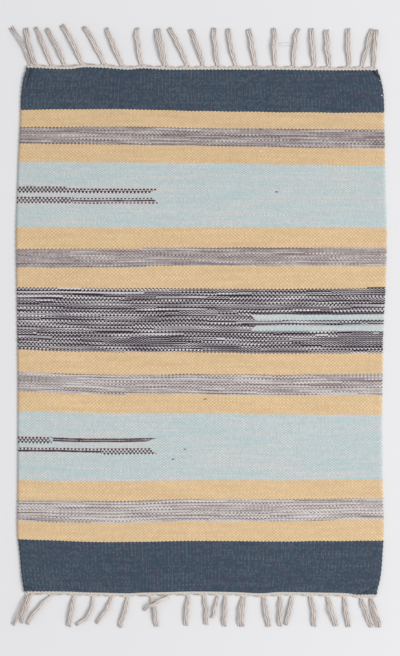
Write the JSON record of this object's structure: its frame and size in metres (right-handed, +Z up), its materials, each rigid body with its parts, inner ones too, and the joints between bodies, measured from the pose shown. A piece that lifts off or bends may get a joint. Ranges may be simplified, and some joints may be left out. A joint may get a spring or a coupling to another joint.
{
  "type": "kilim rug",
  "caption": "Flat-woven cotton rug with plain cross bands, tapered finger stripes and a gathered warp fringe along each end, lying flat.",
  "frame": {"origin": "on the floor plane, under the middle of the whole rug with its fringes", "axes": "+Z up off the floor, +Y along the rug's length towards the fringe_top end, +X across it"},
  "size_m": [0.6336, 1.0162, 0.0077],
  "materials": {
    "cloth": "weft-faced cotton weave in slate, sand, mottled grey, pale blue and dark mottled bands",
    "fringe": "undyed cotton warp ends, matt"
  },
  "bodies": {
    "root": {"rug_cloth": "cloth", "fringe_top": "fringe", "fringe_bottom": "fringe"}
  },
  "joints": []
}
